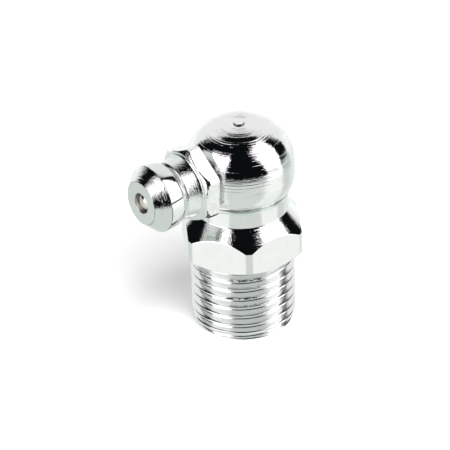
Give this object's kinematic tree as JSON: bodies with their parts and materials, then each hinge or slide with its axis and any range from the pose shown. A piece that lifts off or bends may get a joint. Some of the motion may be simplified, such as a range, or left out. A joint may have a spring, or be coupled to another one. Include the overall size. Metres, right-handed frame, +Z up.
{
  "type": "grease nipple",
  "caption": "Right-angle grease nipple: hexagon elbow body with a male thread and a ball-check nipple pressed into its domed head.",
  "frame": {"origin": "centre of the thread's end face, where the part stands", "axes": "+Z up along the thread's axis, towards the domed head; +X along the nipple, towards its tip; the XZ plane is the mirror plane of the solids"},
  "size_m": [0.0179, 0.011, 0.0217],
  "materials": {
    "plated_body": "bright zinc plate over turned steel",
    "plated_insert": "bright zinc plate over turned steel",
    "ball_steel": "polished hardened steel",
    "spring_steel": "drawn spring wire"
  },
  "bodies": {
    "fitting": {"elbow_body": "plated_body", "nipple_insert": "plated_insert", "check_spring": "spring_steel"},
    "ball": {"check_ball": "ball_steel"}
  },
  "joints": [
    {"name": "ball_travel", "type": "slide", "parent": "fitting", "child": "ball", "axis": [-1, 0, 0], "range_m": [0, 0.001], "stiffness_N_per_m": 540, "springref_m": -0.001, "deforming": ["check_spring"]}
  ]
}
